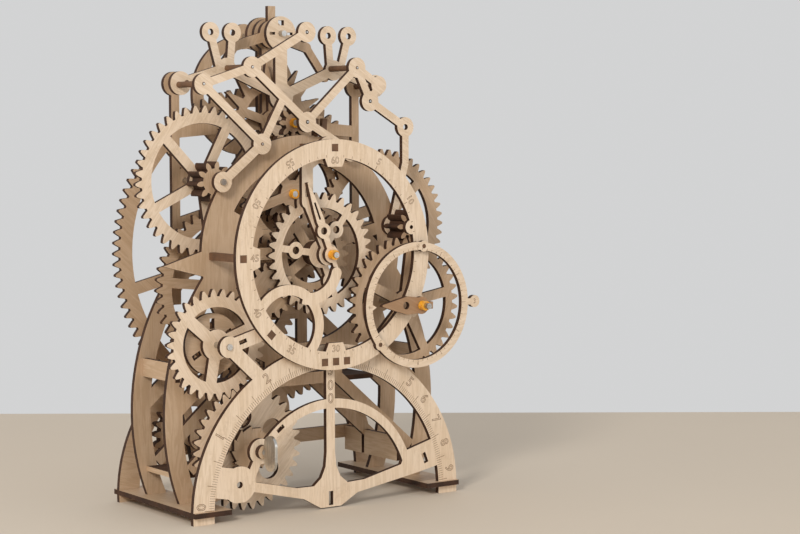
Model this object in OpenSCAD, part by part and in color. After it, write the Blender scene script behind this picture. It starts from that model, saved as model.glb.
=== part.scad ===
// Wooden mechanical clock puzzle: flat laser-cut plywood plates and wheels on steel arbors.
// Millimetres. +Z is up, the dial faces -Y, and the origin is on the table under the middle.

/* [Sheet and arbors] */
// Thickness of every plywood piece
ply = 2.5; // [2:0.1:3]
// Diameter of the steel arbors
arbor_d = 3; // [2:0.1:4]
// Radial running clearance of an arbor in a plate
run_clear = 0.06; // [0.02:0.01:0.1]
// Gap between a wheel and the plate or wheel next to it
layer_gap = 2; // [1.6:0.1:3]

/* [Wheels] */
// Tooth module of every wheel and pinion
tooth_module = 1.7; // [1.4:0.05:1.9]
// Sideways gap that each tooth flank gives up
backlash = 0.3; // [0.2:0.05:0.5]
// Diameter of the escape wheel over its spikes
escape_d = 62; // [50:1:64]
// Swing of the pendulum to each side, in degrees
swing = 4; // [2:0.5:5]

/* [Dial] */
// Outside diameter of the minute dial
dial_d = 113; // [100:1:126]
// Height of the dial centre above the table
dial_height = 125.8; // [120:0.2:135]
// Width of the dial band
dial_band = 9; // [7:0.5:11]
// Outside diameter of the hour ring
hour_d = 63.4; // [56:0.2:70]
// Width of the hour ring
hour_band = 4; // [3:0.5:6]

/* [Stand] */
// Outside diameter of the front and rear arches
arch_d = 156; // [150:1:176]
// Width of the arch band
arch_band = 11.5; // [9:0.5:14]
// Height of the arch centre above the table
arch_height = 3.5; // [3:0.1:6]
// Outside diameter of the half round frame inside the front arch
inner_arch_d = 102; // [90:1:110]
// Width of the legs of the two movement plates
leg_w = 9.7; // [7:0.1:12]
// Width of the struts of the plates
strut_w = 6; // [4:0.5:8]
// Width of the two base rails
rail_w = 20; // [16:0.5:24]
// Height of the pallet arbor above the table
pallet_height = 235.5; // [232:0.5:245]
// Length of the pendulum from its arbor to the middle of the bob
pendulum_len = 194; // [170:1:198]

/* [Hidden] */
$fn = 64;

// Teeth of each wheel and pinion
key_pinion_z = 24;
great_z = 96;
key_z = 34;
idler_z = 30;
second_pinion_z = 15;
hand_wheel_z = 24;
second_z = 48;
middle_pinion_z = 16;
middle_z = 34;
escape_pinion_z = 8;
side_z = 42;
side_pinion_z = 10;
hand_pinion_z = 19;
reducer_z = 48;
reducer_pinion_z = 8;
hour_z = 38;
centre_z = 34;
escape_teeth = 20;
// The hand pinion and its wheel have finer teeth, which gives 12 turns of the minute hand
// for one turn of the hour pointer
hand_module = tooth_module * 62 / (hand_pinion_z + reducer_z);

// Tooth form
pressure_angle = 26;
flank_steps = 3;

// Layers, front face of each sheet, counted back from the front face of the dial
y_dial = 0;
y_hour_ring = -ply;
y_pointer = y_hour_ring - ply - 0.8;
y_minute = y_dial + ply + 0.7;
y_bar = y_minute + ply + 0.6;
y_arch = y_dial + 2 * ply;
y_hour = y_arch + ply + layer_gap - 0.5;
y_centre = y_hour + ply + layer_gap - 0.5;
y_first = y_centre + ply + layer_gap - 0.5;
y_hand_wheel = y_first + ply + layer_gap - 0.5;
y_bridge = y_hand_wheel + ply + layer_gap - 1;
y_front = y_bridge + ply + layer_gap;
y_reducer = y_front + ply + layer_gap;
y_middle = y_reducer + ply + layer_gap + 0.5;
y_side = y_middle + ply + layer_gap + 1;
y_crown = y_side + ply + layer_gap;
y_second = y_crown + ply + layer_gap;
y_escape = y_second + ply + layer_gap;
y_rear = y_escape + ply + layer_gap - 0.5;
y_pendulum = y_rear + ply + layer_gap + 0.5;
y_great = y_pendulum + ply + layer_gap + 1.5;
y_rear_arch = y_great + ply + layer_gap + 3;
y_post = y_rear_arch + ply + layer_gap;
pinion_extra = 1;

// Arbor centres in the X-Z plane; the wheel sizes set how far apart they stand
arbor_r = arbor_d / 2;
hole_r = arbor_r + run_clear;
fixed_clear = 0.03;
dial_c = [0, dial_height];
key_c = polar(dial_c, mesh_dist(great_z, key_pinion_z), 246.6);
idler_c = polar(key_c, mesh_dist(key_z, idler_z), 108.3);
second_c = crossing(idler_c, mesh_dist(idler_z, second_pinion_z),
                    dial_c, mesh_dist(hand_wheel_z, second_pinion_z), 1);
middle_c = [0, second_c[1] + sqrt(pow(mesh_dist(second_z, middle_pinion_z), 2)
                                  - pow(second_c[0], 2))];
escape_c = [0, middle_c[1] + mesh_dist(middle_z, escape_pinion_z)];
side_c = polar(middle_c, mesh_dist(side_z, middle_pinion_z), 171.8);
reducer_c = polar(dial_c, hand_module * (reducer_z + hand_pinion_z) / 2, 13.3);
hour_c = polar(reducer_c, mesh_dist(hour_z, reducer_pinion_z), 265.2);
pallet_c = [0, max(pallet_height, escape_c[1] + escape_d / 2 + 13)];

// How far each wheel is turned so that its teeth lie in its neighbour's gaps
great_turn = 0;
key_pinion_turn = in_mesh(dial_c, great_z, great_turn, key_c, key_pinion_z);
key_turn = 0;
idler_turn = in_mesh(key_c, key_z, key_turn, idler_c, idler_z);
second_pinion_turn = in_mesh(idler_c, idler_z, idler_turn, second_c, second_pinion_z);
hand_wheel_turn = in_mesh(second_c, second_pinion_z, second_pinion_turn, dial_c, hand_wheel_z);
second_turn = 0;
middle_pinion_turn = in_mesh(second_c, second_z, second_turn, middle_c, middle_pinion_z);
middle_turn = 0;
escape_pinion_turn = in_mesh(middle_c, middle_z, middle_turn, escape_c, escape_pinion_z);
side_turn = in_mesh(middle_c, middle_pinion_z, middle_pinion_turn, side_c, side_z);
hand_pinion_turn = 0;
reducer_turn = in_mesh(dial_c, hand_pinion_z, hand_pinion_turn, reducer_c, reducer_z);
reducer_pinion_turn = 0;
hour_turn = in_mesh(reducer_c, reducer_pinion_z, reducer_pinion_turn,
                        hour_c, hour_z);

// Stand
rail_bottom = 3.7;
rail_top = rail_bottom + ply;
arch_c = [0, arch_height];
arch_r = arch_d / 2;
foot_w = arch_band + 0.2;
leg_arc_r = 115.8;
leg_arc_c = [arch_r - 41.7, 47.5];
leg_top = dial_height + 12;
ring_out = dial_d / 2 + 2;
ring_in = ring_out - 13;
peg_r = dial_d / 2 - 4.1;
peg_w = 3.6;
joint_clear = 0.05;
boss_r = 5.5;
post_x = 54;
post_top = [post_x, 209.8];
post_w = 4.5;
ear_in = 28.5;
ear_out = 41;
ear_z = 235.2;
knot = [32, 217.5];
star_z = 204;
bridge_w = 4;
tie_pin_d = 3;
pin_nose_r = 0.8;
slot_len = 6;
rail_front = y_arch - 2;
rail_back = y_rear_arch + ply + 3;

// The whole clock is set over the middle of the table
left_edge = side_c[0] - tip_r(side_z);
right_edge = reducer_c[0] + tip_r(reducer_z, hand_module);
front_edge = y_pointer - 6.5;
back_edge = y_post + ply + 3;
centre_shift = [-(left_edge + right_edge) / 2, -(front_edge + back_edge) / 2, 0];

wood = [0.87, 0.74, 0.57];
pale = [0.90, 0.79, 0.63];
steel = [0.70, 0.70, 0.72];
amber = [0.93, 0.68, 0.10];

function polar(c, r, a) = [c[0] + r * cos(a), c[1] + r * sin(a)];
function direction(a, b) = atan2(b[1] - a[1], b[0] - a[0]);
function mesh_dist(z1, z2) = tooth_module * (z1 + z2) / 2;
function tip_r(z, m = tooth_module) = m * z / 2 + 0.85 * m;
function involute(a) = tan(a) * 180 / PI - a;

// One of the two points at ra from a and rb from b, on side s
function crossing(a, ra, b, rb, s) =
    let (d = norm(b - a), x = (d * d + ra * ra - rb * rb) / (2 * d), h = sqrt(max(0, ra * ra - x * x)),
         u = (b - a) / d)
    a + x * u + s * h * [-u[1], u[0]];

// Turn of the second wheel that puts one of its gaps on a tooth of the first
function in_mesh(c1, z1, turn1, c2, z2) =
    let (a = direction(c1, c2))
    a + 180 - (0.5 - (a - turn1) * z1 / 360) * 360 / z2;

// Half the angle of a tooth at radius r
function tooth_half(z, r, m) =
    let (rp = m * z / 2, rb = rp * cos(pressure_angle))
    90 / z - backlash / rp * 90 / PI + involute(pressure_angle) - involute(acos(min(1, rb / r)));

function tooth_points(z, m) =
    let (rp = m * z / 2, root = rp - 1.2 * m, base = rp * cos(pressure_angle),
         start = max(root, base), tip = tip_r(z, m))
    [for (k = [0 : z - 1])
        let (mid = 360 * k / z,
             right = [for (i = [0 : flank_steps])
                 let (r = start + (tip - start) * i / flank_steps) [r, tooth_half(z, r, m)]],
             flank = root < start - 0.05 ? concat([[root, tooth_half(z, start, m)]], right) : right)
        each concat([for (p = flank) polar([0, 0], p[0], mid - p[1])],
                    [for (i = [len(flank) - 1 : -1 : 0])
                        polar([0, 0], flank[i][0], mid + flank[i][1])])];

// Stands a drawing made in X-Y up into X-Z, with its front face at y
module sheet(y, thickness = ply)
    translate(centre_shift + [0, y + thickness, 0]) rotate([90, 0, 0]) linear_extrude(thickness)
        children();

module at(c) translate([c[0], c[1]]) children();

module disc(c, r) at(c) circle(r);

module strut(a, b, w = strut_w)
    at(a) rotate(direction(a, b)) translate([0, -w / 2]) square([norm(b - a), w]);

module band(c, r, w) at(c) difference() {
    circle(r);
    circle(r - w);
}

module mirrored() {
    children();
    mirror([1, 0]) children();
}

module slot(c, a, len = slot_len, w = ply + 2 * joint_clear)
    at(c) rotate(a) square([len, w], center = true);

// A toothed wheel: solid when it has no spokes
module wheel(c, z, turn, rim = 7, hub = 7, spokes = 0, spoke_w = 5, spoke_turn = 0,
             m = tooth_module)
    at(c) difference() {
        union() {
            difference() {
                rotate(turn) polygon(tooth_points(z, m));
                if (spokes > 0) circle(tip_r(z, m) - rim);
            }
            if (spokes > 0) {
                circle(hub);
                for (k = [0 : spokes - 1])
                    rotate(spoke_turn + 360 * k / spokes)
                        translate([0, -spoke_w / 2]) square([tip_r(z, m) - rim + 0.6, spoke_w]);
            }
        }
        circle(arbor_r + fixed_clear);
    }

// A steel arbor from y1 back to y2
module arbor(c, y1, y2)
    color(steel) sheet(y1, y2 - y1) disc(c, arbor_r);

// A soft sleeve pushed on the end of an arbor
module cap(c, y, len = 3.5)
    color(amber) sheet(y, len) at(c) difference() {
        circle(arbor_r + 0.9);
        circle(arbor_r + fixed_clear);
    }

/* ---- stand ---- */
module rail() {
    translate(centre_shift + [-arch_r, rail_front, rail_bottom]) difference() {
        cube([rail_w, rail_back - rail_front, ply]);
        for (y = [y_arch, y_rear_arch])
            translate([-0.01, y - rail_front - joint_clear, -1])
                cube([foot_w + joint_clear, ply + 2 * joint_clear, ply + 2]);
        for (y = [y_front, y_rear])
            translate([7 - joint_clear, y - rail_front - joint_clear, -1])
                cube([slot_len + 2 * joint_clear, ply + 2 * joint_clear, ply + 2]);
    }
}

module base_rail_left() color(wood) rail();

module base_rail_right()
    color(wood) translate([2 * centre_shift[0], 0, 0]) mirror([1, 0, 0]) rail();

module arch_shape() intersection() {
    band(arch_c, arch_r, arch_band);
    translate([-arch_r - 1, 0]) square([arch_d + 2, arch_d]);
}

module front_arch() color(pale) sheet(y_arch) {
    inner_r = inner_arch_d / 2;
    bar = 4.6;
    left_boss = [-52.4, 17.1];
    foot = [0, 5];
    dial_peg = dial_c + peg_r * [-cos(45), -sin(45)];
    difference() {
        union() {
            intersection() {
                disc(arch_c, arch_r);
                translate([-arch_r - 1, 0]) square([arch_d + 2, arch_d]);
            }
            disc(idler_c, 5.2);
            strut(idler_c, [-38.5, 66.3], 7);
            strut(idler_c, dial_peg + [2.4, 1.6], 6.8);
        }
        difference() {
            disc(arch_c, arch_r - arch_band);
            intersection() {
                band(arch_c, inner_r, bar);
                translate([-inner_r, 16]) square([2 * inner_r, inner_r]);
            }
            difference() {
                disc(left_boss, 9);
                translate([-62, 0]) square([22, 8.5]);
            }
            strut([-66.8, 20], left_boss, 15);
            polygon([[46, 24.4], [70, 31], [72, 16.1], [53.3, 12.4], [40, 12]]);
            strut([0, 28], [0, arch_height + arch_r - arch_band + 1], 5);
            polygon([[-6, 0.6], [-16, 6.2], [-52.4, 14.7], [-52.4, 19.5], [-20, 12.1],
                     [-10, 11.9], [-5.6, 15.6], [-3.2, 21], [-2.3, 30], [2.3, 30], [3.2, 21],
                     [5.6, 15.6], [10, 11.9], [20, 12.3], [46.4, 18.4], [54, 18], [53.3, 12.4],
                     [16, 6.2], [6, 0.6]]);
            disc(key_c, 6.2);
        }
        disc(key_c, hole_r);
        disc(idler_c, hole_r);
        disc(left_boss, 1.6);
        slot(foot, 90, 7);
        slot([57.7, 19.4], 112, 5.5);
        slot([-29.2, 42.2], 37, 4.5, 2);
        slot(idler_c + [7.6, 2.2], 17, 4.2, 2);
        slot(dial_peg, 45, peg_w + 2 * joint_clear, peg_w + 2 * joint_clear);
        for (x = [-6.5, 0, 6.5])
            slot([x, dial_height - peg_r], 0, peg_w + 2 * joint_clear, peg_w + 2 * joint_clear);
    }
}

module rear_arch() color(wood) sheet(y_rear_arch) difference() {
    union() {
        arch_shape();
        strut([-66, 24], [66, 24], 7);
        strut([0, arch_height + arch_r - arch_band + 1], [0, arch_height + arch_r], 16);
    }
    slot([0, arch_height + arch_r - 6], 0);
}

// Outline of one curved leg with its tenon
module leg() {
    intersection() {
        band([leg_arc_c[0], leg_arc_c[1]], leg_arc_r, leg_w);
        translate([-arch_r - 8, rail_top]) square([arch_r, leg_top - rail_top]);
    }
    translate([-arch_r + 7, rail_bottom]) square([slot_len, ply + 2]);
}

module boss(c, r = boss_r) disc(c, r);

leg_mid = [leg_arc_c[0] - leg_arc_r + leg_w / 2, 50];
leg_high = [leg_arc_c[0] - leg_arc_r + leg_w / 2 + 2.3, 70];
shoulder = [-63.4, 95];

module tie_slots() mirrored() {
    slot(leg_high, 90, 9 + 2 * joint_clear);
}

module front_plate() color(wood) sheet(y_front) difference() {
    union() {
        mirrored() leg();
        band(dial_c, ring_out, ring_out - ring_in);
        intersection() {
            band(dial_c, ring_out, ring_out - 27);
            at(dial_c) polygon([[0, 0], [-90, 48], [-90, -30], [-70, -52]]);
        }
        strut(leg_mid, [-26, 92], 7);
        strut([-leg_mid[0], leg_mid[1]], [32, 88], 7);
        strut([-66, 22], [-20, 62], strut_w);
        strut([66, 22], [20, 62], strut_w);
        strut([-20, 62], [20, 62], strut_w);
        strut([-20, 59], [-20, 80], strut_w);
        strut([20, 59], [20, 80], strut_w);
        strut([-72, idler_c[1]], idler_c + [14, 8], 8);
        strut([-ring_in, dial_height], [ring_in, dial_height], strut_w);
        strut(dial_c, reducer_c, strut_w);
        strut(hour_c, reducer_c, strut_w);
        boss(dial_c, 8);
        boss(key_c, 7);
        boss(idler_c, 7);
        boss(second_c);
        boss(reducer_c);
        boss(hour_c);
        translate([-70.5, dial_height - 10]) polygon([[-9, 6], [14, 0], [14, 13]]);
    }
    for (c = [dial_c, key_c, idler_c, second_c, reducer_c, hour_c]) disc(c, hole_r);
    slot(dial_c + [0, peg_r], 0, peg_w + 2 * joint_clear, peg_w + 2 * joint_clear);
    slot(dial_c - [peg_r, 0], 0, peg_w + 2 * joint_clear, peg_w + 2 * joint_clear);
    tie_slots();
    pin_holes(bridge_pins);
}

// Middles of the round pins that join the plates
bridge_pins = [[-26.3, 180], [26, 176]];
crown_pins = [[-59, 209], [-31.7, 217.5], [30, 218.2]];
rear_pins = [[-54.6, 209.8], [54.6, 209.8]];

module pin_holes(pins, r = tie_pin_d / 2) for (c = pins) disc(c, r + joint_clear);

module rear_plate() color(wood) sheet(y_rear) difference() {
    union() {
        mirrored() {
            leg();
            strut(shoulder, [-post_x, 112], 8);
            strut([-post_x, 100], [-post_x, post_top[1]], post_w);
            disc([-post_x - 0.5, post_top[1]], 6);
            strut([-post_x, 186], [0, escape_c[1]], strut_w);
            strut([-post_x, 140], [0, middle_c[1]], strut_w);
            strut(leg_mid, [-26, 92], 7);
            strut([-66, 22], [-20, 62], strut_w);
        }
        strut([-20, 62], [20, 62], strut_w);
        strut([-26, 92], [26, 92], strut_w);
        strut([-20, 59], [-20, 92], strut_w);
        strut([20, 59], [20, 92], strut_w);
        strut([0, 92], pallet_c, 7);
        strut([-post_x, dial_height], [post_x, dial_height], strut_w);
        strut([-post_x, side_c[1]], side_c + [6, 0], 9);
        strut([post_x, reducer_c[1]], reducer_c - [6, 0], 9);
        boss(dial_c, 8);
        boss(key_c, 7);
        boss(second_c, 7);
        boss(middle_c, 6.5);
        boss(side_c, 6.5);
        boss(reducer_c, 6.5);
        boss(escape_c, 6.5);
        boss(pallet_c, 8);
        strut(second_c, [-22, 92], 6);
    }
    for (c = [dial_c, key_c, second_c, middle_c, side_c, reducer_c, escape_c, pallet_c])
        disc(c, hole_r);
    tie_slots();
    pin_holes(rear_pins);
}

module crown_plate() color(pale) sheet(y_crown) difference() {
    union() {
        mirrored() {
            disc([-ear_in, ear_z], 4.9);
            disc([-ear_out, ear_z], 4.9);
            strut([-ear_in, ear_z], [-knot[0] + 2, knot[1]], 4);
            strut([-ear_out, ear_z], [-knot[0] - 4, knot[1]], 4);
            disc([-knot[0], knot[1]], 5.2);
            strut([-post_x - 4, post_top[1]], [-knot[0], knot[1]], 5);
            disc([-post_x - 4, post_top[1]], 5.8);
            strut([-knot[0], knot[1]], [0, star_z], 5);
        }
        strut(middle_c, pallet_c, 7);
        boss(middle_c, 6.5);
        boss(escape_c, 7.5);
        disc([0, star_z], 7);
        disc(pallet_c, 8.7);
    }
    for (c = [middle_c, escape_c, pallet_c]) disc(c, hole_r);
    mirrored() {
        disc([-ear_in, ear_z], 1.6);
        disc([-ear_out, ear_z], 1.6);
    }
    slot(pallet_c + [0, 5.4], 0, 3.4, 2.6);
    slot(pallet_c + [-5.2, 0], 0, 3.2, 1.4);
    slot(pallet_c + [5.2, 0], 0, 3.2, 1.4);
    pin_holes(crown_pins);
    pin_holes(rear_pins);
}

// The linked struts and round joints that stand in front of the wheels
bridge_joints = [
    [-59, 208.8], [-31.7, 217.5], [0, 235.2], [-26.3, 180], [26, 176],
    [0, 190.8], [30, 218.2], [38, 201.4], [60, 188.3], [60, 170], [43.4, 209.6]
];
bridge_links = [
    [0, 1], [0, 3], [1, 2], [1, 5], [5, 6], [6, 7], [7, 8], [8, 9], [5, 4], [6, 10], [10, 7]
];

module bridge_plate() color(pale) sheet(y_bridge) difference() {
    union() {
        for (l = bridge_links) strut(bridge_joints[l[0]], bridge_joints[l[1]], bridge_w);
        for (i = [0, 1, 2, 3, 4, 5, 6, 7, 8]) disc(bridge_joints[i], 5.1);
        disc(bridge_joints[10], 4.6);
        strut(bridge_joints[3], side_c, bridge_w + 0.6);
        strut(bridge_joints[3], [-13, 204], bridge_w);
        strut(bridge_joints[9], reducer_c, bridge_w);
        disc(side_c, 5);
        disc(reducer_c, 5);
    }
    disc(side_c, hole_r);
    disc(reducer_c, hole_r);
    for (i = [2, 5, 7]) disc(bridge_joints[i], 1);
    disc(bridge_joints[8], 1.5);
    pin_holes(bridge_pins, pin_nose_r);
    pin_holes(crown_pins, pin_nose_r);
}

// Carries the front end of the hand arbor, behind the minute hand
module centre_bar() color(pale) sheet(y_bar) difference() {
    union() {
        disc(dial_c, 5.5);
        strut(dial_c, dial_c + [-12, 26], 5);
        strut(dial_c + [-12, 26], dial_c + [-12, 44], 6.4);
        disc(dial_c + [-12, 26], 3.2);
        strut(dial_c + [-12, 44], dial_c + [0, peg_r], 6.4);
        disc(dial_c + [-12, 44], 3.2);
        disc(dial_c + [0, peg_r], 5.4);
    }
    disc(dial_c, hole_r);
    slot(dial_c + [-12, 31], 90, 5, 2.4);
    peg_hole(dial_c + [0, peg_r]);
}

module rear_post() color(wood) {
    ring_c = [0, pallet_c[1] - 30.5];
    sheet(y_post) difference() {
        union() {
            strut([0, arch_r - 9], ring_c - [0, 26], 9);
            disc(dial_c, 8);
            band(ring_c, 31, 6.5);
            disc(pallet_c, 6.5);
        }
        disc(dial_c, hole_r);
        disc(pallet_c, hole_r);
    }
    sheet(y_rear_arch + ply, y_post - y_rear_arch - ply) strut([0, arch_r - 9], [0, arch_r + 1], 9);
}

// Upright and level boards that hold the two movement plates apart
module cross_ties() color(wood) translate(centre_shift) {
    inside = y_rear - y_front - ply;
    for (s = [-1, 1])
        translate([-s * leg_high[0] - ply / 2, y_front, leg_high[1] - 4.5])
            cube([ply, y_rear + ply - y_front, 9]);
    for (x = [-44, 26]) translate([x, y_front + ply, 59]) cube([18, inside, ply]);
    translate([-72, y_front + ply, 18]) cube([20, inside, ply]);
    translate([59, y_front + ply, 14]) cube([ply, inside, 13]);
    translate([59, y_rear + ply, 14]) cube([ply, y_rear_arch - y_rear - ply, 13]);
}

// Round pins between the bridge, the front plate, the crown and the rear plate
module upper_ties() color(wood) {
    for (c = bridge_pins) sheet(y_bridge + ply, y_front - y_bridge) disc(c, tie_pin_d / 2);
    for (c = crown_pins) sheet(y_bridge + ply, y_crown - y_bridge) disc(c, tie_pin_d / 2);
    for (c = concat(bridge_pins, crown_pins)) sheet(y_bridge, ply) disc(c, pin_nose_r);
    for (c = rear_pins) sheet(y_crown, y_rear + ply - y_crown) disc(c, tie_pin_d / 2);
}

// Square pegs that carry the dial, and the two round pins of the hour ring
module dial_pegs() color(wood) {
    for (c = [[0, peg_r], [-peg_r, 0]])
        sheet(y_dial, y_front + ply - y_dial) at(dial_c + c) square(peg_w, center = true);
    for (x = [-6.5, 0, 6.5])
        sheet(y_dial, y_arch + ply - y_dial)
            at([x, dial_height - peg_r]) square(peg_w, center = true);
    for (c = ring_pins) sheet(y_hour_ring, 2 * ply) disc(c, ring_pin_r);
    sheet(y_dial, y_arch + ply - y_dial)
        at(dial_c + peg_r * [-cos(45), -sin(45)]) rotate(45) square(peg_w, center = true);
}

module peg_hole(c, a = 0)
    slot(c, a, peg_w + 2 * joint_clear, peg_w + 2 * joint_clear);

module dial_plate() color(pale) sheet(y_dial) {
    sub_c = dial_c + [-27.5, -33.8];
    curl_c = dial_c + [-14.5, -5.3];
    inner_r = dial_d / 2 - dial_band;
    difference() {
        union() {
            band(dial_c, dial_d / 2, dial_band);
            intersection() {
                disc(hour_c, 6.2);
                disc(dial_c, dial_d / 2 + 2);
            }
            for (a = [90, 180, 270])
                at(dial_c) rotate(a)
                    polygon([[inner_r + 1, -6.5], [inner_r + 1, 6.5], [inner_r - 4.4, 4.2],
                             [inner_r - 4.4, -4.2]]);
            disc(dial_c + [inner_r * cos(15), inner_r * sin(15)], 3.6);
            intersection() {
                band(sub_c, 20.4, 5);
                disc(dial_c, dial_d / 2 - 2);
            }
            intersection() {
                band(curl_c, 18.4, 5.8);
                at(curl_c) polygon([[0, 0], [-9, -30], [40, -30], [40, -9.5]]);
            }
            disc(polar(curl_c, 15.5, -13.4), 2.9);
        }
        disc(hour_c, hole_r);
        disc(dial_c + [inner_r * cos(15), inner_r * sin(15)], 1);
        peg_hole(dial_c + [0, peg_r]);
        peg_hole(dial_c - [peg_r, 0]);
        peg_hole(dial_c + peg_r * [-cos(45), -sin(45)], 45);
        for (x = [-6.5, 0, 6.5]) peg_hole([x, dial_height - peg_r]);
        for (c = ring_pins) disc(c, ring_pin_r + joint_clear);
    }
}

// Where the hour ring crosses the dial band, a pin goes through both
ring_pin_r = 1.1;
ring_pin_at = hour_d / 2 - hour_band / 2;
ring_pins = [for (s = [-1, 1]) crossing(hour_c, ring_pin_at, dial_c, dial_d / 2 - dial_band / 2, s)];

module hour_ring() color(pale) sheet(y_hour_ring) difference() {
    r = hour_d / 2;
    union() {
        band(hour_c, r, hour_band);
        for (c = ring_pins) disc(c, 2.8);
        at(hour_c) translate([r - 1, -1.6]) square([3.4, 3.2]);
        at(hour_c) translate([r + 4.4, 0]) circle(3.1);
        at(hour_c) translate([-r + hour_band - 1, -2]) polygon([[0, 0], [3.4, 2], [0, 4]]);
    }
    for (c = ring_pins) disc(c, ring_pin_r + joint_clear);
}

/* ---- hand arbor, on the dial centre ---- */
module hand_arbor() arbor(dial_c, y_minute - 4.4, y_reducer + ply + pinion_extra);

module centre_wheel() color(pale) sheet(y_centre) difference() {
    union() {
        wheel(dial_c, centre_z, 0, rim = 7.6, hub = 7, spokes = 3, spoke_w = 3.4,
              spoke_turn = 171.5);
        for (k = [0 : 2]) disc(polar(dial_c, 14.8, 171.5 + 120 * k), 4.2);
    }
    for (k = [0 : 2]) disc(polar(dial_c, 14.8, 171.5 + 120 * k), 1.9);
}

module hand_drum() color(wood)
    sheet(y_centre + ply, y_hand_wheel - y_centre - ply) at(dial_c) difference() {
        circle(6);
        circle(arbor_r + fixed_clear);
    }

module hand_wheel() color(wood) sheet(y_hand_wheel)
    wheel(dial_c, hand_wheel_z, hand_wheel_turn, rim = 7, hub = 6.5, spokes = 4, spoke_turn = 35);

module hand_pinion() color(wood) sheet(y_reducer - pinion_extra, ply + 2 * pinion_extra)
    wheel(dial_c, hand_pinion_z, hand_pinion_turn, m = hand_module);

module minute_hand() color(pale) sheet(y_minute) at(dial_c) rotate(111) difference() {
    union() {
        circle(4);
        polygon([[0, -1.5], [10, -1.6], [18, -2.3], [24, -1.9], [38, -0.4], [38, 0.4],
                 [24, 1.9], [18, 2.3], [10, 1.6], [0, 1.5]]);
        translate([12.6, 0]) circle(3.8);
        translate([-9.2, 0]) circle(2);
        translate([-9.2, -1.2]) square([9.2, 2.4]);
    }
    circle(arbor_r + fixed_clear);
    translate([12.6, 0]) circle(1.8);
    translate([18.6, -0.5]) square([9, 1]);
}

module hand_cap() cap(dial_c, y_minute - 3.2, 3);

/* ---- hour ---- */
module hour_arbor() arbor(hour_c, y_pointer - 6.5, y_front + ply + 0.8);

module hour_wheel() color(wood) sheet(y_hour)
    wheel(hour_c, hour_z, hour_turn, rim = 7.6, hub = 6.5, spokes = 5, spoke_turn = 10);

module hour_pointer() color(pale) sheet(y_pointer) at(hour_c) rotate(178) difference() {
    union() {
        circle(4.4);
        polygon([[0, -3.8], [9, -4.6], [24, -0.5], [24, 0.5], [9, 4.6], [0, 3.8]]);
        translate([-7, -1.8]) square([7, 3.6]);
    }
    circle(arbor_r + fixed_clear);
    translate([9.6, 0]) circle(1.9);
}

module hour_cap() cap(hour_c, y_pointer - 3.8);

/* ---- reducer between hands and hour ---- */
module reducer_arbor() arbor(reducer_c, y_hour - pinion_extra - 1.5, y_rear + ply + 0.8);

module reducer_pinion() color(wood) sheet(y_hour - pinion_extra, ply + pinion_extra + 9)
    wheel(reducer_c, reducer_pinion_z, reducer_pinion_turn);

module reducer_wheel() color(wood) sheet(y_reducer)
    wheel(reducer_c, reducer_z, reducer_turn, rim = 8.8, hub = 7, spokes = 5, spoke_turn = 42,
          m = hand_module);

/* ---- key arbor ---- */
module key_arbor() arbor(key_c, y_arch - 4, y_great + ply + pinion_extra);

module key_wheel() color(pale) sheet(y_first) difference() {
    wheel(key_c, key_z, key_turn);
    for (k = [0 : 4]) disc(polar(key_c, 16, 30 + 72 * k), 5.5);
}

module key_ratchet() color(wood) sheet(y_centre) at(key_c) difference() {
    union() {
        circle(9);
        for (k = [0 : 11]) rotate(30 * k) polygon([[7, 0], [11.5, 0], [8.8, 4.9], [7, 4]]);
    }
    circle(arbor_r + fixed_clear);
}

module key_pinion() color(wood) sheet(y_great - pinion_extra, ply + 2 * pinion_extra)
    wheel(key_c, key_pinion_z, key_pinion_turn, rim = 7.5, hub = 6, spokes = 4, spoke_turn = 12);

module key_knob() color(wood) sheet(y_arch - 3.4, 3) at(key_c) difference() {
    circle(3.4);
    circle(arbor_r + fixed_clear);
}

// An oval steel thumb plate that stands across the end of the arbor
module key_disc() color(steel)
    translate(centre_shift + [key_c[0] - 0.75, y_arch - 14, key_c[1]]) rotate([90, 0, 90])
        linear_extrude(1.5) {
            translate([0, -3.6]) square([10, 7.2]);
            translate([5, 3.6]) circle(5);
            translate([5, -3.6]) circle(5);
        }

/* ---- idler ---- */
module idler_arbor() arbor(idler_c, y_arch - 0.8, y_front + ply + 0.8);

module idler_wheel() color(pale) sheet(y_first)
    wheel(idler_c, idler_z, idler_turn, rim = 8.6, hub = 7.5, spokes = 3, spoke_w = 6, spoke_turn = 20);

module idler_disc() color(wood) sheet(y_hand_wheel) difference() {
    disc(idler_c, 15);
    disc(idler_c, arbor_r + fixed_clear);
    for (k = [0 : 5]) slot(polar(idler_c, 10, 60 * k + 30), 60 * k + 30, 5, 2.6);
}

/* ---- great wheel and spring barrel ---- */
module great_arbor() arbor(dial_c, y_escape + 0.6, y_post + ply + 2.8);

module great_wheel() color(wood) sheet(y_great)
    wheel(dial_c, great_z, great_turn, rim = 10, hub = 22, spokes = 6, spoke_w = 6, spoke_turn = 14);

barrel_r = 20;
barrel_back = y_rear_arch + ply + 0.6;

module spring_barrel() color(wood) sheet(y_great + ply, barrel_back - y_great - ply - 1.5)
    band(dial_c, barrel_r, 2.5);

module barrel_cover() color(wood) sheet(barrel_back - 1.5, 1.5) difference() {
    disc(dial_c, barrel_r);
    disc(dial_c, arbor_r + fixed_clear);
}

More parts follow.
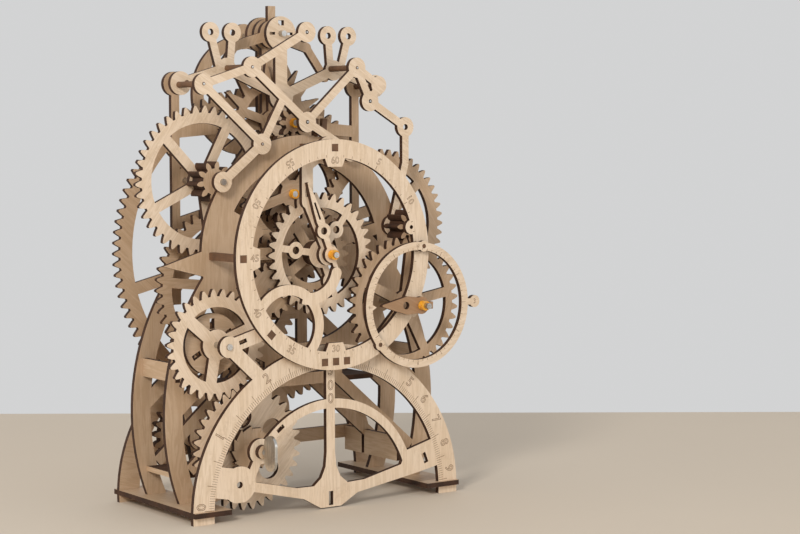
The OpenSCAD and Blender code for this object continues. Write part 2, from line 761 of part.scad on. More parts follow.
// A flat coiled spring: half rings of growing size joined end to end
module mainspring() color(steel) sheet(y_great + ply + 0.4, barrel_back - y_great - ply - 2.3) {
    turns = 6;
    step = 2.2;
    spring_w = 0.6;
    for (k = [0 : turns - 1]) {
        intersection() {
            band(dial_c, 3.4 + step * k + spring_w, spring_w);
            at(dial_c) translate([-barrel_r, 0]) square([2 * barrel_r, barrel_r]);
        }
        intersection() {
            band(dial_c + [step / 2, 0], 3.4 + step * (k + 0.5) + spring_w, spring_w);
            at(dial_c) translate([-barrel_r, -barrel_r]) square([2 * barrel_r + 4, barrel_r]);
        }
    }
}

/* ---- second arbor ---- */
module second_arbor() arbor(second_c, y_first - pinion_extra - 1, y_rear + ply + 0.8);

module second_pinion() color(wood)
    sheet(y_first - pinion_extra, y_hand_wheel + ply - y_first + 1.6 * pinion_extra)
        wheel(second_c, second_pinion_z, second_pinion_turn);

module second_wheel() color(wood) sheet(y_second)
    wheel(second_c, second_z, second_turn, rim = 8.6, hub = 9, spokes = 5, spoke_turn = 30);

/* ---- middle arbor ---- */
module middle_arbor() arbor(middle_c, y_middle - 2.4, y_rear + ply + 0.8);

module middle_pinions() color(wood) {
    sheet(y_side - pinion_extra, ply + 2 * pinion_extra)
        wheel(middle_c, middle_pinion_z, middle_pinion_turn);
    sheet(y_second - pinion_extra, ply + 2 * pinion_extra)
        wheel(middle_c, middle_pinion_z, middle_pinion_turn);
}

module middle_wheel() color(wood) sheet(y_middle)
    wheel(middle_c, middle_z, middle_turn, rim = 8, hub = 7, spokes = 5, spoke_turn = 54);

module middle_cap() cap(middle_c, y_middle - 2.6, 2.4);

/* ---- side arbor ---- */
module side_arbor() arbor(side_c, y_bridge - 1, y_rear + ply + 0.8);

module side_pinion() color(wood) sheet(y_front + ply + 0.8, y_side - y_front - ply - 1.6)
    wheel(side_c, side_pinion_z, 8);

module side_wheel() color(pale) sheet(y_side)
    wheel(side_c, side_z, side_turn, rim = 8.6, hub = 7.5, spokes = 5, spoke_turn = 62);

/* ---- escapement ---- */
module escape_arbor() arbor(escape_c, y_middle - 3.2, y_rear + ply + 0.8);

module escape_wheel() color(wood) {
    sheet(y_escape) at(escape_c) difference() {
        r = escape_d / 2;
        rim = r - 10;
        union() {
            circle(rim);
            for (k = [0 : escape_teeth - 1])
                rotate(360 * k / escape_teeth + 6)
                    polygon([[rim - 1, -2.2], [r, -0.3], [r, 0.3], [rim - 1, 3]]);
        }
        difference() {
            circle(rim - 4.5);
            circle(6.5);
            for (k = [0 : 4]) rotate(72 * k + 18) translate([0, -2.2]) square([rim, 4.4]);
        }
        circle(arbor_r + fixed_clear);
    }
    sheet(y_middle - pinion_extra, ply + 2 * pinion_extra)
        wheel(escape_c, escape_pinion_z, escape_pinion_turn);
}

module escape_cap() cap(escape_c, y_middle - 3.4, 2.2);

module pallet_arbor() arbor(pallet_c, y_crown - 3, y_post + ply + 0.8);

// The fork reaches round the escape wheel and stays clear of it through the swing
module pallet_fork() color(wood) sheet(y_escape) difference() {
    reach = escape_d / 2 + 0.9;
    lift = norm(pallet_c - escape_c);
    touch = acos(min(0.97, (reach - 0.9) / lift));
    arm_r = reach + 2 * sin(swing) * lift;
    union() {
        disc(pallet_c, 7);
        strut(pallet_c, pallet_c + [0, 14.3], 4.4);
        for (s = [-1, 1]) {
            shoulder_p = escape_c + (arm_r + 6) * [s * sin(touch * 0.62), cos(touch * 0.62)];
            tip_p = escape_c + arm_r * [s * sin(touch + 6), cos(touch + 6)];
            strut(pallet_c, shoulder_p, 5);
            disc(shoulder_p, 2.5);
            strut(shoulder_p, tip_p + [s * 2.4, 0], 4);
            disc(tip_p + [s * 2.4, 0], 2);
        }
    }
    disc(pallet_c, arbor_r + fixed_clear);
}

module pendulum() color(wood) {
    bob_c = pallet_c - [0, pendulum_len];
    ring = tan(swing) * (pallet_c[1] - dial_c[1]) + arbor_r + 4;
    sheet(y_pendulum) difference() {
        union() {
            disc(pallet_c, 9);
            strut(pallet_c, bob_c, 6);
            disc(dial_c, ring + 4);
            disc(bob_c, 15);
        }
        disc(dial_c, ring);
        disc(pallet_c, arbor_r + fixed_clear);
    }
    sheet(y_pendulum - 1.4, 1.4) disc(bob_c, 11.5);
    sheet(y_pendulum + ply, 1.4) disc(bob_c, 11.5);
}

base_rail_left();
base_rail_right();
front_arch();
rear_arch();
front_plate();
rear_plate();
crown_plate();
bridge_plate();
centre_bar();
rear_post();
cross_ties();
upper_ties();
dial_pegs();
dial_plate();
hour_ring();
hand_arbor();
centre_wheel();
hand_drum();
hand_wheel();
hand_pinion();
minute_hand();
hand_cap();
hour_arbor();
hour_wheel();
hour_pointer();
hour_cap();
reducer_arbor();
reducer_pinion();
reducer_wheel();
key_arbor();
key_wheel();
key_ratchet();
key_pinion();
key_knob();
key_disc();
idler_arbor();
idler_wheel();
idler_disc();
great_arbor();
great_wheel();
spring_barrel();
mainspring();
barrel_cover();
second_arbor();
second_pinion();
second_wheel();
middle_arbor();
middle_pinions();
middle_wheel();
middle_cap();
side_arbor();
side_pinion();
side_wheel();
escape_arbor();
escape_wheel();
escape_cap();
pallet_arbor();
pallet_fork();
pendulum();
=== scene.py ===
import bpy
import bmesh
import math
from mathutils import Matrix, Vector


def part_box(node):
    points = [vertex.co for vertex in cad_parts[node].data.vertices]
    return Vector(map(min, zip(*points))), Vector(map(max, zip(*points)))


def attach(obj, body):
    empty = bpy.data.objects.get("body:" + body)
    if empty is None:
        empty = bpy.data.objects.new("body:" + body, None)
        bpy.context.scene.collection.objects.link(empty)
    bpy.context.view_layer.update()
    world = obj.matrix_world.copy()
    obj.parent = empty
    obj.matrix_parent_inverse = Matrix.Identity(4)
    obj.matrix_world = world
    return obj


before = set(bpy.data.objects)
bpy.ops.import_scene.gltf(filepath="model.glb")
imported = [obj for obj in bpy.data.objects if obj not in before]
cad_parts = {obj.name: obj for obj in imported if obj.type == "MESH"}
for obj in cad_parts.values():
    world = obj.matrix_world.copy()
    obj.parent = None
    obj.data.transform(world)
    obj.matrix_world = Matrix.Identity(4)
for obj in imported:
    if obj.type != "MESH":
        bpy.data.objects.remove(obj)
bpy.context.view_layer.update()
print("stage: frame loaded")

mm = 0.001
ply = 2.5 * mm
sceneRef = bpy.context.scene

# Small helpers that place and link nodes


def newGroup(name, inputs, outputs):
    group = bpy.data.node_groups.new(name, "ShaderNodeTree")
    for label, kind, value in inputs:
        sock = group.interface.new_socket(name=label, in_out="INPUT", socket_type=kind)
        if value is not None:
            sock.default_value = value
    for label, kind in outputs:
        group.interface.new_socket(name=label, in_out="OUTPUT", socket_type=kind)
    start = group.nodes.new("NodeGroupInput")
    end = group.nodes.new("NodeGroupOutput")
    return group, start, end


def mathNode(tree, kind, a, b=None, c=None, clamp=False):
    node = tree.nodes.new("ShaderNodeMath")
    node.operation = kind
    node.use_clamp = clamp
    for i, v in enumerate((a, b, c)):
        if v is None:
            continue
        if isinstance(v, (int, float)):
            node.inputs[i].default_value = v
        else:
            tree.links.new(v, node.inputs[i])
    return node.outputs[0]


def stepNode(tree, value, low, high, outLow=0.0, outHigh=1.0):
    node = tree.nodes.new("ShaderNodeMapRange")
    node.interpolation_type = "SMOOTHSTEP"
    node.inputs["From Min"].default_value = low
    node.inputs["From Max"].default_value = high
    node.inputs["To Min"].default_value = outLow
    node.inputs["To Max"].default_value = outHigh
    tree.links.new(value, node.inputs["Value"])
    return node.outputs["Result"]


def noiseNode(tree, vector, scale, detail=3.0, rough=0.55, distort=0.0):
    node = tree.nodes.new("ShaderNodeTexNoise")
    node.inputs["Scale"].default_value = scale
    node.inputs["Detail"].default_value = detail
    node.inputs["Roughness"].default_value = rough
    node.inputs["Distortion"].default_value = distort
    tree.links.new(vector, node.inputs["Vector"])
    return node.outputs["Fac"]


def mixColour(tree, factor, a, b, kind="MIX"):
    node = tree.nodes.new("ShaderNodeMix")
    node.data_type = "RGBA"
    node.blend_type = kind
    node.clamp_factor = True
    colours = [s for s in node.inputs if s.type == "RGBA"]
    for sock, v in ((node.inputs[0], factor), (colours[0], a), (colours[1], b)):
        if isinstance(v, (int, float)):
            sock.default_value = v
        elif isinstance(v, tuple):
            sock.default_value = (v[0], v[1], v[2], 1.0)
        else:
            tree.links.new(v, sock)
    return [s for s in node.outputs if s.type == "RGBA"][0]


# Long fibres, darker growth lines and short pores of peeled basswood
def buildGrain():
    group, start, end = newGroup(
        "sheetGrain",
        [("Place", "NodeSocketVector", None)],
        [("Fibre", "NodeSocketFloat"), ("Bands", "NodeSocketFloat"),
         ("Pores", "NodeSocketFloat"), ("Blotch", "NodeSocketFloat")],
    )
    place = start.outputs["Place"]

    def stretched(scale):
        node = group.nodes.new("ShaderNodeMapping")
        node.inputs["Scale"].default_value = scale
        group.links.new(place, node.inputs["Vector"])
        return node.outputs["Vector"]

    fibre = noiseNode(group, stretched((0.05, 1.0, 1.0)), 2600.0, 4.0, 0.6)
    figure = noiseNode(group, stretched((0.10, 1.0, 1.0)), 170.0, 3.0, 0.5, 1.2)
    bands = mathNode(group, "SINE", mathNode(group, "MULTIPLY", figure, 34.0))
    bands = mathNode(group, "MULTIPLY_ADD", bands, 0.5, 0.5)
    pore = noiseNode(group, stretched((0.035, 1.0, 1.0)), 5200.0, 2.0, 0.5)
    pores = stepNode(group, pore, 0.60, 0.70)
    blotch = noiseNode(group, place, 38.0, 3.0, 0.5)
    group.links.new(fibre, end.inputs["Fibre"])
    group.links.new(bands, end.inputs["Bands"])
    group.links.new(pores, end.inputs["Pores"])
    group.links.new(blotch, end.inputs["Blotch"])
    return group


# Tells the cut edge of a sheet from its faces and gives the scorch of the cut
def buildCut():
    group, start, end = newGroup(
        "sheetCut",
        [("Facing", "NodeSocketFloat", 1.0), ("Depth", "NodeSocketFloat", 0.0),
         ("Place", "NodeSocketVector", None)],
        [("Edge", "NodeSocketFloat"), ("Scorch", "NodeSocketFloat"),
         ("Plies", "NodeSocketFloat"), ("Streaks", "NodeSocketFloat")],
    )
    facing = mathNode(group, "ABSOLUTE", start.outputs["Facing"])
    edge = stepNode(group, facing, 0.55, 0.80, 1.0, 0.0)
    place = start.outputs["Place"]
    soot = noiseNode(group, place, 160.0, 4.0, 0.6)
    scorch = stepNode(group, soot, 0.30, 0.72)
    depth = start.outputs["Depth"]
    # The two glue lines of a three ply sheet, as shares of its thickness
    glueLines = []
    for line in (0.32, 0.68):
        away = mathNode(group, "ABSOLUTE", mathNode(group, "SUBTRACT", depth, line))
        glueLines.append(stepNode(group, away, 0.02, 0.06, 1.0, 0.0))
    plies = mathNode(group, "MAXIMUM", glueLines[0], glueLines[1])
    stretch = group.nodes.new("ShaderNodeMapping")
    stretch.inputs["Scale"].default_value = (1.0, 0.06, 1.0)
    group.links.new(place, stretch.inputs["Vector"])
    streaks = noiseNode(group, stretch.outputs["Vector"], 2400.0, 3.0, 0.6)
    group.links.new(edge, end.inputs["Edge"])
    group.links.new(scorch, end.inputs["Scorch"])
    group.links.new(plies, end.inputs["Plies"])
    group.links.new(streaks, end.inputs["Streaks"])
    return group


def buildDust():
    group, start, end = newGroup(
        "handling",
        [("Place", "NodeSocketVector", None), ("Amount", "NodeSocketFloat", 0.3)],
        [("Mark", "NodeSocketFloat")],
    )
    wide = noiseNode(group, start.outputs["Place"], 90.0, 4.0, 0.6)
    fine = noiseNode(group, start.outputs["Place"], 900.0, 2.0, 0.5)
    mark = mathNode(group, "MULTIPLY", stepNode(group, wide, 0.45, 0.75), stepNode(group, fine, 0.35, 0.7))
    mark = mathNode(group, "MULTIPLY", mark, start.outputs["Amount"])
    group.links.new(mark, end.inputs["Mark"])
    return group


grainGroup = buildGrain()
cutGroup = buildCut()
dustGroup = buildDust()


def place(tree, group, **values):
    node = tree.nodes.new("ShaderNodeGroup")
    node.node_tree = group
    for label, v in values.items():
        if isinstance(v, (int, float)):
            node.inputs[label].default_value = v
        else:
            tree.links.new(v, node.inputs[label])
    return node.outputs


def startMaterial(name):
    mat = bpy.data.materials.new(name)
    mat.use_nodes = True
    tree = mat.node_tree
    shader = tree.nodes["Principled BSDF"]
    coords = tree.nodes.new("ShaderNodeTexCoord")
    return mat, tree, shader, coords


def addBump(tree, shader, height, strength, distance):
    bump = tree.nodes.new("ShaderNodeBump")
    bump.inputs["Strength"].default_value = strength
    bump.inputs["Distance"].default_value = distance
    tree.links.new(height, bump.inputs["Height"])
    tree.links.new(bump.outputs["Normal"], shader.inputs["Normal"])


# Colours of the sheets: face, two darker faces that are painted shade, then the scorched cut edge
sheetLook = {
    "pale": (0.715, 0.575, 0.435),
    # inside and rear sheets: the pale face darkened, painted shade where the frame shades itself
    "interiorShade": (0.500, 0.360, 0.240),
    # hour pointer face, darkened as painted shade
    "pointerShade": (0.340, 0.205, 0.115),
    "burnt": (0.062, 0.026, 0.012),
    "sooty": (0.012, 0.005, 0.003),
    "streak": (0.095, 0.040, 0.018),
    "glue": (0.022, 0.010, 0.005),
    "pore": (0.20, 0.105, 0.045),
    "handled": (0.42, 0.29, 0.17),
}


# One sheet of plywood: axis is the sheet's own normal, front where its depth starts
def plywood(name, axis, front, turn, face, seed):
    mat, tree, shader, coords = startMaterial(name)
    objectPlace = coords.outputs["Object"]
    axisNode = tree.nodes.new("ShaderNodeSeparateXYZ")
    tree.links.new(coords.outputs["Normal"], axisNode.inputs[0])
    depthNode = tree.nodes.new("ShaderNodeSeparateXYZ")
    tree.links.new(objectPlace, depthNode.inputs[0])
    facing = axisNode.outputs[axis]
    fromFront = mathNode(tree, "SUBTRACT", depthNode.outputs[axis], front)
    depth = mathNode(tree, "MULTIPLY", fromFront, 1.0 / ply)
    mapping = tree.nodes.new("ShaderNodeMapping")
    mapping.inputs["Location"].default_value = (seed * 0.137, seed * 0.071, seed * 0.193)
    mapping.inputs["Rotation"].default_value = {
        "X": (turn, 0, math.pi / 2), "Y": (0, turn, 0), "Z": (0, 0, turn)}[axis]
    tree.links.new(objectPlace, mapping.inputs["Vector"])
    grain = place(tree, grainGroup, Place=mapping.outputs["Vector"])
    cut = place(tree, cutGroup, Facing=facing, Depth=depth, Place=objectPlace)
    dust = place(tree, dustGroup, Place=objectPlace, Amount=0.35)

    light = tuple(min(1, c * 1.07) for c in face)
    deep = (face[0] * 0.80, face[1] * 0.74, face[2] * 0.64)
    tone = mixColour(tree, stepNode(tree, grain["Bands"], 0.1, 0.95, 0.0, 0.42), light, deep)
    tone = mixColour(tree, stepNode(tree, grain["Fibre"], 0.38, 0.72, 0.0, 0.30), tone, deep)
    tone = mixColour(tree, stepNode(tree, grain["Blotch"], 0.35, 0.75, 0.0, 0.35), tone,
                     (face[0] * 0.93, face[1] * 0.84, face[2] * 0.72))
    poreShade = mathNode(tree, "MULTIPLY", grain["Pores"], 0.22)
    tone = mixColour(tree, poreShade, tone, sheetLook["pore"])
    tone = mixColour(tree, dust["Mark"], tone, sheetLook["handled"])
    brown = mixColour(tree, cut["Scorch"], sheetLook["burnt"], sheetLook["sooty"])
    streaked = mathNode(tree, "MULTIPLY", cut["Streaks"], 0.5)
    brown = mixColour(tree, streaked, brown, sheetLook["streak"])
    brown = mixColour(tree, mathNode(tree, "MULTIPLY", cut["Plies"], 0.7), brown, sheetLook["glue"])
    colour = mixColour(tree, cut["Edge"], tone, brown)
    tree.links.new(colour, shader.inputs["Base Color"])
    rough = mathNode(tree, "MULTIPLY_ADD", grain["Fibre"], 0.16, 0.44)
    rough = mathNode(tree, "MULTIPLY_ADD", cut["Edge"], 0.18, rough, clamp=True)
    tree.links.new(rough, shader.inputs["Roughness"])
    shader.inputs["Specular IOR Level"].default_value = 0.35
    height = mathNode(tree, "MULTIPLY_ADD", grain["Pores"], -0.6, grain["Fibre"])
    edgeHeight = mathNode(tree, "MULTIPLY", cut["Streaks"], 1.4)
    mixed = tree.nodes.new("ShaderNodeMix")
    tree.links.new(cut["Edge"], mixed.inputs[0])
    tree.links.new(height, mixed.inputs[2])
    tree.links.new(edgeHeight, mixed.inputs[3])
    addBump(tree, shader, mixed.outputs[0], 0.35, 0.00012)
    return mat


# Ends of pegs and dowels show scorched end grain on every side
def scorchedPeg(name):
    mat, tree, shader, coords = startMaterial(name)
    cut = place(tree, cutGroup, Facing=0.0, Depth=0.0, Place=coords.outputs["Object"])
    dust = place(tree, dustGroup, Place=coords.outputs["Object"], Amount=0.4)
    tone = mixColour(tree, cut["Scorch"], (0.130, 0.060, 0.027), (0.045, 0.020, 0.010))
    streaked = mathNode(tree, "MULTIPLY", cut["Streaks"], 0.6)
    tone = mixColour(tree, streaked, tone, (0.210, 0.105, 0.048))
    tone = mixColour(tree, dust["Mark"], tone, (0.26, 0.16, 0.09))
    tree.links.new(tone, shader.inputs["Base Color"])
    rough = mathNode(tree, "MULTIPLY_ADD", cut["Streaks"], 0.2, 0.6)
    tree.links.new(rough, shader.inputs["Roughness"])
    addBump(tree, shader, cut["Streaks"], 0.3, 0.0001)
    return mat


def drawnSteel(name, colour, axisScale):
    mat, tree, shader, coords = startMaterial(name)
    mapping = tree.nodes.new("ShaderNodeMapping")
    mapping.inputs["Scale"].default_value = axisScale
    tree.links.new(coords.outputs["Object"], mapping.inputs["Vector"])
    lines = noiseNode(tree, mapping.outputs["Vector"], 1800.0, 3.0, 0.6)
    dust = place(tree, dustGroup, Place=coords.outputs["Object"], Amount=0.5)
    darker = tuple(c * 0.72 for c in colour)
    tone = mixColour(tree, stepNode(tree, lines, 0.35, 0.7), colour, darker)
    tone = mixColour(tree, dust["Mark"], tone, (0.16, 0.14, 0.12))
    tree.links.new(tone, shader.inputs["Base Color"])
    shader.inputs["Metallic"].default_value = 1.0
    rough = mathNode(tree, "MULTIPLY_ADD", lines, 0.22, 0.20)
    rough = mathNode(tree, "MULTIPLY_ADD", dust["Mark"], 0.3, rough, clamp=True)
    tree.links.new(rough, shader.inputs["Roughness"])
    addBump(tree, shader, lines, 0.2, 0.00005)
    return mat


def softSleeve(name):
    mat, tree, shader, coords = startMaterial(name)
    cloud = noiseNode(tree, coords.outputs["Object"], 500.0, 3.0, 0.5)
    grit = noiseNode(tree, coords.outputs["Object"], 3200.0, 2.0, 0.5)
    dust = place(tree, dustGroup, Place=coords.outputs["Object"], Amount=0.6)
    clear, cloudy = (0.86, 0.42, 0.018), (0.70, 0.27, 0.010)
    tone = mixColour(tree, stepNode(tree, cloud, 0.3, 0.7), clear, cloudy)
    tone = mixColour(tree, dust["Mark"], tone, (0.62, 0.45, 0.24))
    tree.links.new(tone, shader.inputs["Base Color"])
    tree.links.new(mathNode(tree, "MULTIPLY_ADD", grit, 0.2, 0.32), shader.inputs["Roughness"])
    shader.inputs["Subsurface Weight"].default_value = 0.25
    shader.inputs["Subsurface Radius"].default_value = (0.0012, 0.0006, 0.0002)
    addBump(tree, shader, grit, 0.15, 0.00008)
    return mat


def scorchedLine(name):
    mat, tree, shader, coords = startMaterial(name)
    uneven = noiseNode(tree, coords.outputs["Object"], 1500.0, 3.0, 0.6)
    deep, faint = (0.110, 0.052, 0.022), (0.240, 0.135, 0.068)
    tone = mixColour(tree, stepNode(tree, uneven, 0.3, 0.7), deep, faint)
    tree.links.new(tone, shader.inputs["Base Color"])
    tree.links.new(mathNode(tree, "MULTIPLY_ADD", uneven, 0.2, 0.6), shader.inputs["Roughness"])
    return mat


steelY = drawnSteel("arborSteel", (0.60, 0.58, 0.55), (1.0, 0.05, 1.0))
steelKey = drawnSteel("thumbSteel", (0.66, 0.64, 0.60), (1.0, 1.0, 0.07))
steelSpring = drawnSteel("springSteel", (0.30, 0.30, 0.33), (0.08, 1.0, 0.08))
amber = softSleeve("amberSleeve")
scorched = scorchedLine("scorchedLine")
print("stage: materials started")

# Every sheet gets its own plywood
palePieces = {
    "front_arch", "dial_plate", "hour_ring", "bridge_plate", "crown_plate", "centre_bar",
    "centre_wheel", "key_wheel", "idler_wheel", "side_wheel", "minute_hand",
    "hour_pointer",
}
steelPieces = {
    "hand_arbor", "hour_arbor", "reducer_arbor", "key_arbor", "idler_arbor", "great_arbor",
    "second_arbor", "middle_arbor", "side_arbor", "escape_arbor", "pallet_arbor",
}
levelPieces = {"base_rail_left", "base_rail_right"}
upright = 1.57  # radians, grain running up the sheet
grainTurn = {"dial_plate": upright, "front_arch": upright, "rear_plate": upright,
             "front_plate": upright, "hour_ring": 0.2}

seed = 1
for name, node in sorted(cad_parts.items()):
    seed += 1
    low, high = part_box(name)
    if name in steelPieces:
        mat = steelY
    elif name == "key_disc":
        mat = steelKey
    elif name == "mainspring":
        mat = steelSpring
    elif name.endswith("_cap"):
        mat = amber
    elif name in {"dial_pegs", "upper_ties"}:
        mat = scorchedPeg(name + "Burnt")
    # the base rails and cross ties take the painted-shade face
    elif name in levelPieces:
        mat = plywood(name + "Ply", "Z", low.z, upright, sheetLook["interiorShade"], seed)
    elif name == "cross_ties":
        mat = plywood(name + "Ply", "X", low.x, 0.0, sheetLook["interiorShade"], seed)
    else:
        # sheets outside palePieces take the painted-shade face
        face = sheetLook["pale"] if name in palePieces else sheetLook["interiorShade"]
        # the hour pointer's darker face is painted shade
        if name == "hour_pointer":
            face = sheetLook["pointerShade"]
        turn = grainTurn.get(name, (seed * 2.399) % 3.14)
        mat = plywood(name + "Ply", "Y", low.y, turn, face, seed)
    node.data.materials.clear()
    node.data.materials.append(mat)
print("stage: plywood on", seed - 1, "nodes")

# Engraved scales, burnt lines a hair proud of the face

def centreOf(node):
    low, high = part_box(node)
    return Vector(((low.x + high.x) / 2, 0, (low.z + high.z) / 2))


dialAxis = centreOf("hand_arbor")
hourAxis = centreOf("hour_arbor")
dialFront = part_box("dial_plate")[0].y
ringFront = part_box("hour_ring")[0].y
archLow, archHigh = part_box("front_arch")
archFront = archLow.y
archAxis = Vector(((archLow.x + archHigh.x) / 2, 0, 3.5 * mm))
archR = 78 * mm
dialR = (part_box("dial_plate")[1].z - dialAxis.z)
lift = 0.03 * mm


def finishPiece(bm, name, body, mat):
    mesh = bpy.data.meshes.new(name)
    bm.to_mesh(mesh)
    bm.free()
    mesh.materials.append(mat)
    obj = bpy.data.objects.new(name, mesh)
    sceneRef.collection.objects.link(obj)
    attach(obj, body)
    return obj


# A thin raised bar in the X-Z plane, from one radius to another at an angle
def tick(bm, axis, front, angle, r1, r2, wide):
    made = bmesh.ops.create_cube(bm, size=1.0)["verts"]
    bmesh.ops.scale(bm, vec=(r2 - r1, lift, wide), verts=made)
    bmesh.ops.translate(bm, vec=((r1 + r2) / 2, 0, 0), verts=made)
    bmesh.ops.rotate(bm, cent=(0, 0, 0), matrix=Matrix.Rotation(-angle, 3, "Y"), verts=made)
    bmesh.ops.translate(bm, vec=(axis.x, front - lift / 2, axis.z), verts=made)


# Digits as a flat mesh, turned to stand on the front face
def digits(bm, text, size, where, front, angle):
    curve = bpy.data.curves.new("digits", "FONT")
    curve.body = text
    curve.size = size
    curve.align_x = "CENTER"
    curve.align_y = "CENTER"
    curve.fill_mode = "NONE"
    curve.bevel_depth = size * 0.02
    curve.bevel_resolution = 0
    curve.resolution_u = 3
    holder = bpy.data.objects.new("digits", curve)
    sceneRef.collection.objects.link(holder)
    bpy.context.view_layer.update()
    graph = bpy.context.evaluated_depsgraph_get()
    made = bpy.data.meshes.new_from_object(holder.evaluated_get(graph))
    bpy.data.objects.remove(holder)
    spot = Matrix.Translation((where[0], front, where[1]))
    stand = Matrix.Rotation(-angle, 4, "Y") @ Matrix.Rotation(math.pi / 2, 4, "X")
    made.transform(spot @ stand @ Matrix.Diagonal((1, 1, 0.4, 1)))
    bm.from_mesh(made)
    bpy.data.meshes.remove(made)


def polar(axis, r, angle):
    return (axis.x + r * math.cos(angle), axis.z + r * math.sin(angle))


dialScale = {"inner": 8.6 * mm, "short": 7.4 * mm, "long": 6.6 * mm, "digit": 4.8 * mm,
             "ring": 4.4 * mm, "tab": 10.4 * mm}
dialMarks = bmesh.new()
for minute in range(60):
    angle = math.pi / 2 - minute * math.tau / 60
    long = minute % 5 == 0
    if minute not in (0, 30, 45):
        outer = dialR - dialScale["long" if long else "short"]
        tick(dialMarks, dialAxis, dialFront, angle, dialR - dialScale["inner"], outer,
             (0.28 if long else 0.2) * mm)
for five in (1, 2, 6, 7, 8, 9, 10, 11, 12):
    angle = math.pi / 2 - five * math.tau / 12
    onTab = five in (6, 9, 12)
    lean = 0 if onTab else angle - math.pi / 2
    if abs(lean) > math.pi / 2:
        lean += math.pi
    where = polar(dialAxis, dialR - dialScale["tab" if onTab else "ring"], angle)
    digits(dialMarks, str(5 * five), dialScale["digit"], where, dialFront, lean)
finishPiece(dialMarks, "dialMarks", "frame", scorched)

ringScale = {"outside": 31.7 * mm, "inner": 3.9 * mm, "short": 2.9 * mm, "long": 1.6 * mm,
             "lug": 4.4 * mm, "lugDigit": 3.4 * mm, "band": 2.0 * mm, "bandDigit": 2.2 * mm}
ringMarks = bmesh.new()
ringR = ringScale["outside"]
for k in range(60):
    outer = ringR - ringScale["long" if k % 5 == 0 else "short"]
    tick(ringMarks, hourAxis, ringFront, k * math.tau / 60, ringR - ringScale["inner"], outer,
         0.2 * mm)
# The digit 3 stands on the lug outside the ring, the others inside the band
digits(ringMarks, "3", ringScale["lugDigit"], polar(hourAxis, ringR + ringScale["lug"], 0),
       ringFront, 0)
for text, angle in (("12", math.pi / 2), ("9", math.pi), ("6", -math.pi / 2)):
    where = polar(hourAxis, ringR - ringScale["band"], angle)
    digits(ringMarks, text, ringScale["bandDigit"], where, ringFront, 0)
finishPiece(ringMarks, "ringMarks", "frame", scorched)

archScale = {"start": 3, "step": 0.97, "ticks": 181, "short": 3.0 * mm, "long": 5.4 * mm,
             "digit": 7.0 * mm}
archMarks = bmesh.new()
inner = archR - 11.5 * mm
for k in range(archScale["ticks"]):
    angle = math.radians(k * archScale["step"] + archScale["start"])
    ten = k % 10 == 0
    tick(archMarks, archAxis, archFront, angle, inner + 0.3 * mm,
         inner + archScale["long" if ten else "short"], (0.24 if ten else 0.17) * mm)
archDigits = (("0", 176), ("1", 149), ("2", 120), ("5", 49), ("6", 39), ("7", 28.5),
              ("8", 18), ("9", 7))
for text, degrees in archDigits:
    angle = math.radians(degrees)
    digits(archMarks, text, archScale["digit"], polar(archAxis, archR - 4.4 * mm, angle),
           archFront, angle - math.pi / 2)
for text, z in (("3", 68.5), ("0", 61.0), ("0", 54.5)):
    digits(archMarks, text, archScale["digit"], (archAxis.x, z * mm), archFront, 0)
finishPiece(archMarks, "archMarks", "frame", scorched)
print("stage: scales engraved")

# Steel pin heads in the round joints
pinHeads = bmesh.new()
quarterTurn = Matrix.Rotation(math.pi / 2, 3, "X")
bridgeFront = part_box("bridge_plate")[0].y
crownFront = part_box("crown_plate")[0].y
shiftX = dialAxis.x
headPlaces = {
    "bridge": [(-59, 209), (-31.7, 217.5), (30, 218.2), (0, 235.2), (-26.3, 180), (26, 176),
               (0, 190.8), (38, 201.4)],
    "crown": [(-58, 209.8), (58, 209.8), (-32, 217.5), (32, 217.5)],
}
for plate, front in (("bridge", bridgeFront), ("crown", crownFront)):
    for x, z in headPlaces[plate]:
        made = bmesh.ops.create_cone(pinHeads, cap_ends=True, segments=20, radius1=0.62 * mm,
                                     radius2=0.5 * mm, depth=0.5 * mm)["verts"]
        bmesh.ops.rotate(pinHeads, cent=(0, 0, 0), matrix=quarterTurn, verts=made)
        spot = (shiftX + x * mm, front - 0.12 * mm, z * mm)
        bmesh.ops.translate(pinHeads, vec=spot, verts=made)
finishPiece(pinHeads, "pinHeads", "frame", steelY)

# Two small upright tabs on top of the front movement ring
tabs = {"front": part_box("front_plate")[0].y, "foot": 183.4 * mm, "top": 192.6 * mm,
        "across": [(8.0, 2.6, 0.3), (12.6, 3.0, 0.9)]}  # middle, width, lean
tabMesh = bmesh.new()
for x, wide, lean in tabs["across"]:
    made = bmesh.ops.create_cube(tabMesh, size=1.0)["verts"]
    tall = tabs["top"] - tabs["foot"]
    bmesh.ops.scale(tabMesh, vec=(wide * mm, ply, tall), verts=made)
    spot = (shiftX + x * mm, tabs["front"] + ply / 2, (tabs["top"] + tabs["foot"]) / 2)
    bmesh.ops.translate(tabMesh, vec=spot, verts=made)
    upper = [v for v in made if v.co.z > tabs["foot"] + ply]
    bmesh.ops.translate(tabMesh, vec=(lean * mm, 0, 0), verts=upper)
bmesh.ops.bevel(tabMesh, geom=tabMesh.edges[:], offset=0.15 * mm, offset_type="OFFSET",
                segments=2, profile=0.5, affect="EDGES", material=-1)
finishPiece(tabMesh, "ringTabs", "frame", scorchedPeg("ringTabsBurnt"))
print("stage: pins and tabs made")

# Floor, light and camera
def stageMaterial(name, colour, rough):
    mat, tree, shader, coords = startMaterial(name)
    cloth = noiseNode(tree, coords.outputs["Object"], 6.0, 4.0, 0.5)
    faded = tuple(c * 0.93 for c in colour)
    tone = mixColour(tree, stepNode(tree, cloth, 0.3, 0.7, 0.0, 0.25), colour, faded)
    tree.links.new(tone, shader.inputs["Base Color"])
    shader.inputs["Roughness"].default_value = rough
    return mat


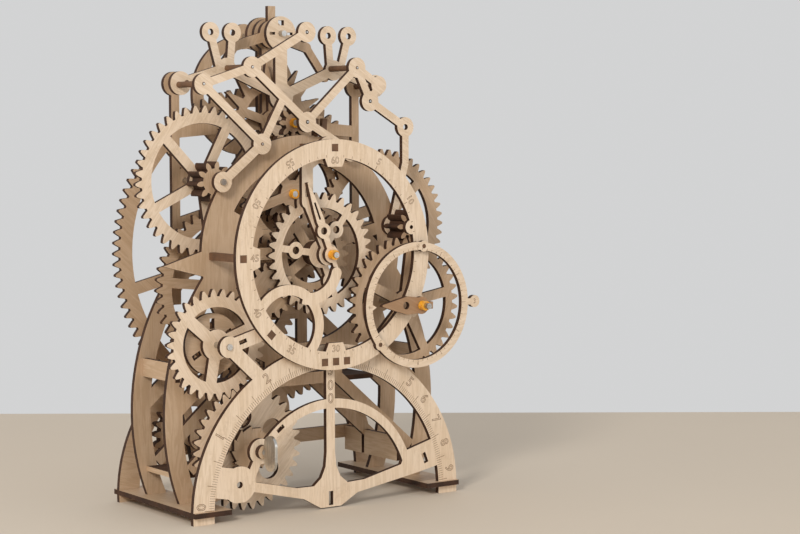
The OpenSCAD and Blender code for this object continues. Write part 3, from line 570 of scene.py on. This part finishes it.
tableSize = {"wide": 2.6, "behind": 0.30, "before": 0.95, "turn": math.radians(-35.66)}
floorMesh = bmesh.new()
made = bmesh.ops.create_grid(floorMesh, x_segments=1, y_segments=1, size=0.5)["verts"]
tableDeep = tableSize["behind"] + tableSize["before"]
bmesh.ops.scale(floorMesh, vec=(tableSize["wide"], tableDeep, 1), verts=made)
bmesh.ops.translate(floorMesh, vec=(0, tableSize["behind"] - tableDeep / 2, 0), verts=made)
tableTurn = Matrix.Rotation(tableSize["turn"], 3, "Z")
bmesh.ops.rotate(floorMesh, cent=(0, 0, 0), matrix=tableTurn, verts=made)
floorData = bpy.data.meshes.new("table")
floorMesh.to_mesh(floorData)
floorMesh.free()
floorData.materials.append(stageMaterial("tablePale", (0.60, 0.515, 0.415), 0.8))
table = bpy.data.objects.new("table", floorData)
sceneRef.collection.objects.link(table)

world = bpy.data.worlds.new("softRoom")
sceneRef.world = world
world.use_nodes = True
world.node_tree.nodes["Background"].inputs[0].default_value = (0.90, 0.905, 0.91, 1)
world.node_tree.nodes["Background"].inputs[1].default_value = 0.72


def areaLight(name, where, target, size, power, colour):
    data = bpy.data.lights.new(name, "AREA")
    data.shape = "SQUARE"
    data.size = size
    data.energy = power
    data.color = colour
    obj = bpy.data.objects.new(name, data)
    sceneRef.collection.objects.link(obj)
    obj.location = where
    obj.rotation_euler = (Vector(target) - Vector(where)).to_track_quat("-Z", "Y").to_euler()


middle = Vector((0, 0, 0.12))  # the height the lamps look at
areaLight("windowKey", (-1.2, -0.85, 0.85), middle, 0.35, 16.5, (1.0, 0.965, 0.92))
areaLight("roomFill", (0.35, -1.4, 0.2), middle, 0.8, 3.4, (0.94, 0.97, 1.0))
areaLight("ceiling", (0.1, 0.3, 1.5), middle, 1.2, 1.0, (1.0, 0.98, 0.95))

view = {"lens": 87.7, "azimuth": -35.66, "pitch": -3.92, "roll": -0.14,
        "fromDial": (-0.5288, -0.7910, 0.0592)}
cameraData = bpy.data.cameras.new("camera")
camera = bpy.data.objects.new("camera", cameraData)
sceneRef.collection.objects.link(camera)
sceneRef.camera = camera
cameraData.sensor_width = 36.0
cameraData.lens = view["lens"]
azimuth, pitch, roll = (math.radians(view[k]) for k in ("azimuth", "pitch", "roll"))
camera.location = Vector((dialAxis.x, dialFront, dialAxis.z)) + Vector(view["fromDial"])
look = Vector((-math.sin(azimuth) * math.cos(pitch), math.cos(azimuth) * math.cos(pitch),
               math.sin(pitch)))
aim = look.to_track_quat("-Z", "Y").to_matrix()
camera.rotation_euler = (aim @ Matrix.Rotation(roll, 3, "Z")).to_euler()
cameraData.clip_start = 0.01
cameraData.clip_end = 20
sceneRef.view_settings.view_transform = "Standard"
print("stage: light and camera set")
